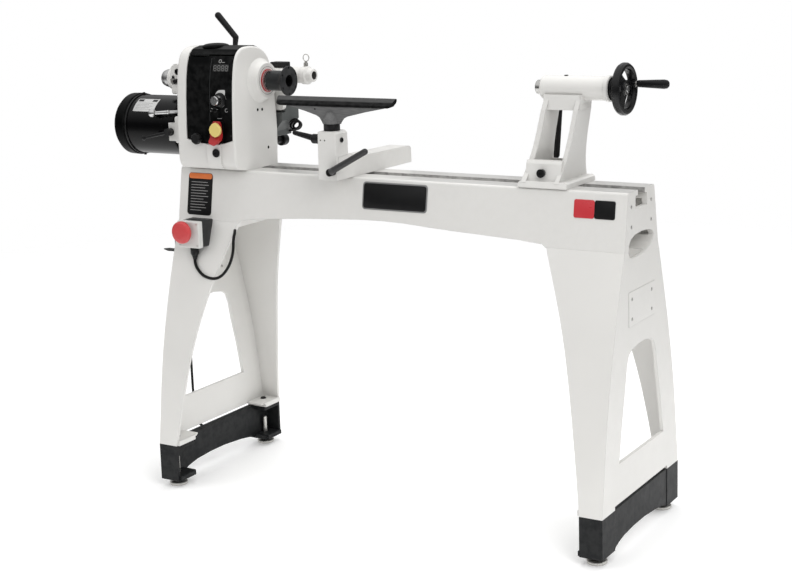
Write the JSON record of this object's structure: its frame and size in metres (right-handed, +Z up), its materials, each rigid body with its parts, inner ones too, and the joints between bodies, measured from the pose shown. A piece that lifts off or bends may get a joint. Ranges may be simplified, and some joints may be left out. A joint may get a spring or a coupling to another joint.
{
  "type": "wood lathe",
  "caption": "Floor-standing wood lathe with a sliding headstock and motor, a tool rest, a tailstock with handwheel, and a bed on two splayed legs.",
  "frame": {"origin": "centre of the machine footprint box, on the floor under the levelling feet", "axes": "+X along the bed from the headstock to the tailstock, +Y from the operator side to the rear, +Z up"},
  "size_m": [1.633, 0.482, 1.2805],
  "materials": {
    "paint": "satin",
    "paint_dark": "satin",
    "black_panel": "satin",
    "black_metal": "satin",
    "black_plastic": "matte",
    "ground_iron": "ground",
    "dark_iron": "machined",
    "steel": "brushed",
    "zinc": "zinc plated",
    "chrome": "polished",
    "aluminium": "satin",
    "rubber": "matte",
    "red_metal": "gloss",
    "red_plastic": "gloss",
    "yellow_plastic": "gloss",
    "white_plastic": "satin",
    "dark_grey": "satin"
  },
  "bodies": {
    "frame": {"bed": "paint", "right_leg": "paint", "left_leg": "paint", "right_riser": "paint_dark", "left_riser": "paint_dark", "frame_bolts": "black_metal", "jam_nuts": "zinc", "stop_box": "white_plastic", "tool_hook": "black_metal"},
    "foot_fl": {"foot_front_left": "zinc"},
    "foot_fr": {"foot_front_right": "zinc"},
    "foot_rl": {"foot_rear_left": "zinc"},
    "foot_rr": {"foot_rear_right": "zinc"},
    "headstock": {"headstock_casting": "paint", "control_panel": "black_panel", "top_cover": "black_panel", "spindle_bearings": "steel", "nose_ring": "red_metal", "drive_belt": "rubber", "drive_box": "dark_grey", "rear_arm": "paint"},
    "headstock_cam": {"headstock_clamp_lever": "black_plastic"},
    "headstock_clamp": {"headstock_clamp_bolt": "steel", "headstock_clamp_plate": "steel"},
    "spindle_assembly": {"spindle": "steel", "spindle_pulley": "aluminium", "faceplate": "dark_iron"},
    "motor": {"motor_body": "black_metal", "motor_plate": "black_metal", "motor_fan_cover": "black_metal", "tension_handle": "chrome"},
    "motor_rotor": {"motor_shaft": "steel", "motor_pulley": "aluminium"},
    "motor_lock": {"motor_lock_lever": "black_plastic"},
    "belt_cover": {"belt_door": "black_panel"},
    "cover_latch": {"door_knob": "black_plastic"},
    "dial": {"speed_dial": "black_plastic"},
    "toggle": {"direction_toggle": "chrome"},
    "paddle": {"switch_paddle": "red_plastic"},
    "key": {"safety_key": "yellow_plastic"},
    "index": {"index_pin": "steel"},
    "spindle_lock": {"spindle_lock_pin": "black_plastic"},
    "arm_lock": {"arm_pin": "zinc"},
    "tailstock": {"tailstock_casting": "paint"},
    "tailstock_cam": {"tailstock_clamp_lever": "black_plastic"},
    "tailstock_clamp": {"tailstock_clamp_bolt": "steel", "tailstock_clamp_plate": "steel"},
    "wheel": {"handwheel": "black_plastic", "leadscrew": "steel"},
    "wheel_grip": {"wheel_handle": "black_plastic"},
    "quill_barrel": {"quill": "ground_iron"},
    "rest_plate": {"rest_clamp_plate": "steel"},
    "rest_bolt": {"rest_clamp_bolt": "steel"},
    "rest_base": {"tool_rest_base": "paint"},
    "rest_cam": {"rest_clamp_lever": "dark_grey"},
    "rest_lock": {"rest_lock_lever": "black_plastic"},
    "rest_ring": {"rest_collar": "black_metal"},
    "rest_blade": {"tool_rest": "dark_iron"},
    "stop": {"stop_button": "red_plastic"}
  },
  "joints": [
    {"name": "foot_front_left_screw", "type": "slide", "parent": "frame", "child": "foot_fl", "axis": [0, 0, -1], "range_m": [0, 0.02]},
    {"name": "foot_front_right_screw", "type": "slide", "parent": "frame", "child": "foot_fr", "axis": [0, 0, -1], "range_m": [0, 0.02]},
    {"name": "foot_rear_left_screw", "type": "slide", "parent": "frame", "child": "foot_rl", "axis": [0, 0, -1], "range_m": [0, 0.02]},
    {"name": "foot_rear_right_screw", "type": "slide", "parent": "frame", "child": "foot_rr", "axis": [0, 0, -1], "range_m": [0, 0.02]},
    {"name": "headstock_slide", "type": "slide", "parent": "frame", "child": "headstock", "axis": [1, 0, 0], "range_m": [0, 0.08]},
    {"name": "headstock_clamp_turn", "type": "hinge", "parent": "headstock", "child": "headstock_cam", "pos_m": [-0.3965, 0, 0.922], "axis": [0, -1, 0], "range_deg": [0, 35]},
    {"name": "headstock_clamp_lift", "type": "slide", "parent": "headstock", "child": "headstock_clamp", "axis": [0, 0, -1], "range_m": [0, 0.0022]},
    {"name": "spindle_spin", "type": "hinge", "parent": "headstock", "child": "spindle_assembly", "pos_m": [-0.3975, 0, 1.106], "axis": [1, 0, 0], "continuous": true},
    {"name": "motor_swing", "type": "hinge", "parent": "headstock", "child": "motor", "pos_m": [-0.5375, 0.063, 0.972], "axis": [-1, 0, 0], "range_deg": [0, 5], "deforming": ["drive_belt"]},
    {"name": "motor_spin", "type": "hinge", "parent": "motor", "child": "motor_rotor", "pos_m": [-0.4975, 0.02, 0.972], "axis": [1, 0, 0], "continuous": true},
    {"name": "motor_lock_turn", "type": "hinge", "parent": "headstock", "child": "motor_lock", "pos_m": [-0.5955, -0.084, 0.965], "axis": [0, 1, 0], "range_deg": [0, 40]},
    {"name": "belt_door_swing", "type": "hinge", "parent": "headstock", "child": "belt_cover", "pos_m": [-0.4585, -0.0965, 1.1793], "axis": [-1, 0, 0], "range_deg": [0, 75]},
    {"name": "door_knob_turn", "type": "hinge", "parent": "belt_cover", "child": "cover_latch", "pos_m": [-0.4585, -0.13, 0.9585], "axis": [0, 1, 0], "range_deg": [0, 90]},
    {"name": "speed_dial_turn", "type": "hinge", "parent": "headstock", "child": "dial", "pos_m": [-0.3845, -0.13, 1.063], "axis": [0, 1, 0], "range_deg": [-135, 135]},
    {"name": "direction_toggle_flip", "type": "hinge", "parent": "headstock", "child": "toggle", "pos_m": [-0.4015, -0.122, 1.036], "axis": [0, 1, 0], "range_deg": [-30, 30]},
    {"name": "switch_paddle_swing", "type": "hinge", "parent": "headstock", "child": "paddle", "pos_m": [-0.387, -0.12, 0.997], "axis": [-1, 0, 0], "range_deg": [0, 8.5]},
    {"name": "safety_key_pull", "type": "slide", "parent": "paddle", "child": "key", "axis": [0, -1, 0], "range_m": [0, 0.015]},
    {"name": "index_pin_pull", "type": "slide", "parent": "headstock", "child": "index", "axis": [0, -1, 0], "range_m": [0, 0.012]},
    {"name": "spindle_lock_slide", "type": "slide", "parent": "headstock", "child": "spindle_lock", "axis": [0, -1, 0], "range_m": [0, 0.008]},
    {"name": "arm_pin_pull", "type": "slide", "parent": "headstock", "child": "arm_lock", "axis": [0, 0, 1], "range_m": [0, 0.012]},
    {"name": "tailstock_slide", "type": "slide", "parent": "frame", "child": "tailstock", "axis": [1, 0, 0], "range_m": [-0.38, 0.1]},
    {"name": "tailstock_clamp_turn", "type": "hinge", "parent": "tailstock", "child": "tailstock_cam", "pos_m": [0.5385, 0, 0.906], "axis": [0, -1, 0], "range_deg": [0, 35]},
    {"name": "tailstock_clamp_lift", "type": "slide", "parent": "tailstock", "child": "tailstock_clamp", "axis": [0, 0, -1], "range_m": [0, 0.0022]},
    {"name": "handwheel_turn", "type": "hinge", "parent": "tailstock", "child": "wheel", "pos_m": [0.7125, 0, 1.106], "axis": [1, 0, 0], "range_deg": [0, 9000]},
    {"name": "quill_travel", "type": "slide", "parent": "tailstock", "child": "quill_barrel", "axis": [-1, 0, 0], "range_m": [0, 0.1001]},
    {"name": "wheel_handle_spin", "type": "hinge", "parent": "wheel", "child": "wheel_grip", "pos_m": [0.7625, 0.04501, 1.11499], "axis": [1, 0, 0], "continuous": true},
    {"name": "rest_along_bed", "type": "slide", "parent": "frame", "child": "rest_plate", "axis": [1, 0, 0], "range_m": [-0.09, 0.4]},
    {"name": "rest_swing", "type": "hinge", "parent": "rest_plate", "child": "rest_bolt", "pos_m": [-0.0155, 0, 0.893], "axis": [0, 0, 1], "range_deg": [-10, 25]},
    {"name": "rest_in_out", "type": "slide", "parent": "rest_bolt", "child": "rest_base", "axis": [0, -1, 0], "range_m": [-0.07, 0.15]},
    {"name": "rest_clamp_turn", "type": "hinge", "parent": "rest_base", "child": "rest_cam", "pos_m": [-0.0125, -0.168, 0.893], "axis": [0, -1, 0], "range_deg": [0, 30]},
    {"name": "rest_lock_turn", "type": "hinge", "parent": "rest_base", "child": "rest_lock", "pos_m": [-0.0775, -0.125, 0.972], "axis": [1, 0, 0], "range_deg": [-90, 90]},
    {"name": "rest_rotate", "type": "hinge", "parent": "rest_base", "child": "rest_ring", "pos_m": [-0.0275, -0.125, 1.003], "axis": [0, 0, 1], "continuous": true},
    {"name": "rest_height", "type": "slide", "parent": "rest_ring", "child": "rest_blade", "axis": [0, 0, 1], "range_m": [0, 0.06]},
    {"name": "stop_button_press", "type": "slide", "parent": "frame", "child": "stop", "axis": [0, 1, 0], "range_m": [0, 0.005]}
  ],
  "couplings": [
    {"joint": "headstock_clamp_lift", "follows": "headstock_clamp_turn", "m_per_rad": 0.003},
    {"joint": "tailstock_clamp_lift", "follows": "tailstock_clamp_turn", "m_per_rad": 0.003},
    {"joint": "motor_spin", "follows": "spindle_spin", "ratio": 1.4444},
    {"joint": "quill_travel", "follows": "handwheel_turn", "m_per_rad": 0.00063662}
  ]
}
